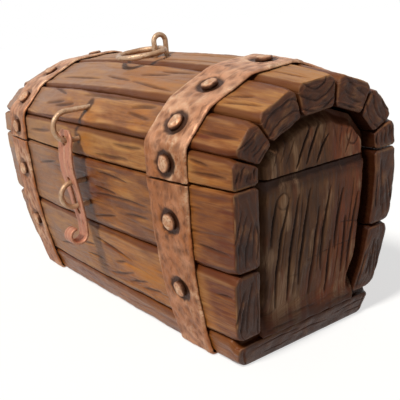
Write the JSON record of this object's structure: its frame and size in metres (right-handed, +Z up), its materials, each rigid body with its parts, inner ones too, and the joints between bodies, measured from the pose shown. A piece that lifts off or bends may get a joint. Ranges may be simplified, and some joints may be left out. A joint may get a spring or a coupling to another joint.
{
  "type": "treasure chest",
  "caption": "Small domed wooden treasure chest: bowed staves, copper bands with domed rivets, hinged lid, swinging hasp on wire staples, lift ring",
  "frame": {"origin": "centre of the flat underside of the bottom board, on the plane that the chest stands on", "axes": "+Z up, +X along the long side to the right seen from the front, the hasp and front face toward -Y, hinges toward +Y"},
  "size_m": [0.2, 0.1113, 0.124],
  "materials": {
    "stave_wood": "satin varnish over carved grain, warm brown with amber and red-brown areas",
    "panel_wood": "darker satin wood with long carved cracks",
    "copper": "hammered matt pinkish copper with bright rubbed spots",
    "wire_brass": "aged brass wire, satin"
  },
  "bodies": {
    "base": {"bottom_board": "stave_wood", "front_stave_lower": "stave_wood", "front_stave_upper": "stave_wood", "back_stave_lower": "stave_wood", "back_stave_upper": "stave_wood", "end_panel_left": "panel_wood", "end_panel_right": "panel_wood", "base_band_left": "copper", "base_band_right": "copper", "base_rivet_left_front_1": "copper", "base_rivet_left_front_2": "copper", "base_rivet_left_back_1": "copper", "base_rivet_left_back_2": "copper", "base_rivet_right_front_1": "copper", "base_rivet_right_front_2": "copper", "base_rivet_right_back_1": "copper", "base_rivet_right_back_2": "copper", "hinge_leaf_base_left": "wire_brass", "hinge_leaf_base_right": "wire_brass", "hinge_pin_left": "wire_brass", "hinge_pin_right": "wire_brass", "hinge_nail_base_left": "wire_brass", "hinge_nail_base_right": "wire_brass", "catch_staple": "wire_brass"},
    "lid": {"lid_stave_1": "stave_wood", "lid_stave_2": "stave_wood", "lid_stave_3": "stave_wood", "lid_stave_4": "stave_wood", "lid_stave_5": "stave_wood", "lid_stave_6": "stave_wood", "lid_stave_7": "stave_wood", "lid_end_panel_left": "panel_wood", "lid_end_panel_right": "panel_wood", "lid_band_left": "copper", "lid_band_right": "copper", "lid_rivet_left_1": "copper", "lid_rivet_left_2": "copper", "lid_rivet_left_3": "copper", "lid_rivet_left_4": "copper", "lid_rivet_left_5": "copper", "lid_rivet_left_6": "copper", "lid_rivet_left_7": "copper", "lid_rivet_right_1": "copper", "lid_rivet_right_2": "copper", "lid_rivet_right_3": "copper", "lid_rivet_right_4": "copper", "lid_rivet_right_5": "copper", "lid_rivet_right_6": "copper", "lid_rivet_right_7": "copper", "hinge_leaf_lid_left": "wire_brass", "hinge_leaf_lid_right": "wire_brass", "hinge_nail_lid_left": "wire_brass", "hinge_nail_lid_right": "wire_brass", "hasp_staple": "wire_brass", "ring_staple": "wire_brass"},
    "hasp": {"hasp_strap": "copper"},
    "ring": {"lift_ring": "wire_brass"}
  },
  "joints": [
    {"name": "lid_hinge", "type": "hinge", "parent": "base", "child": "lid", "pos_m": [0, 0.04935, 0.075], "axis": [-1, 0, 0], "range_deg": [0, 105]},
    {"name": "hasp_swing", "type": "hinge", "parent": "lid", "child": "hasp", "pos_m": [-0.0015, -0.051, 0.0896], "axis": [-1, 0, 0], "range_deg": [0, 105]},
    {"name": "ring_swing", "type": "hinge", "parent": "lid", "child": "ring", "pos_m": [0, 0, 0.11657], "axis": [-1, 0, 0], "range_deg": [0, 165]}
  ]
}
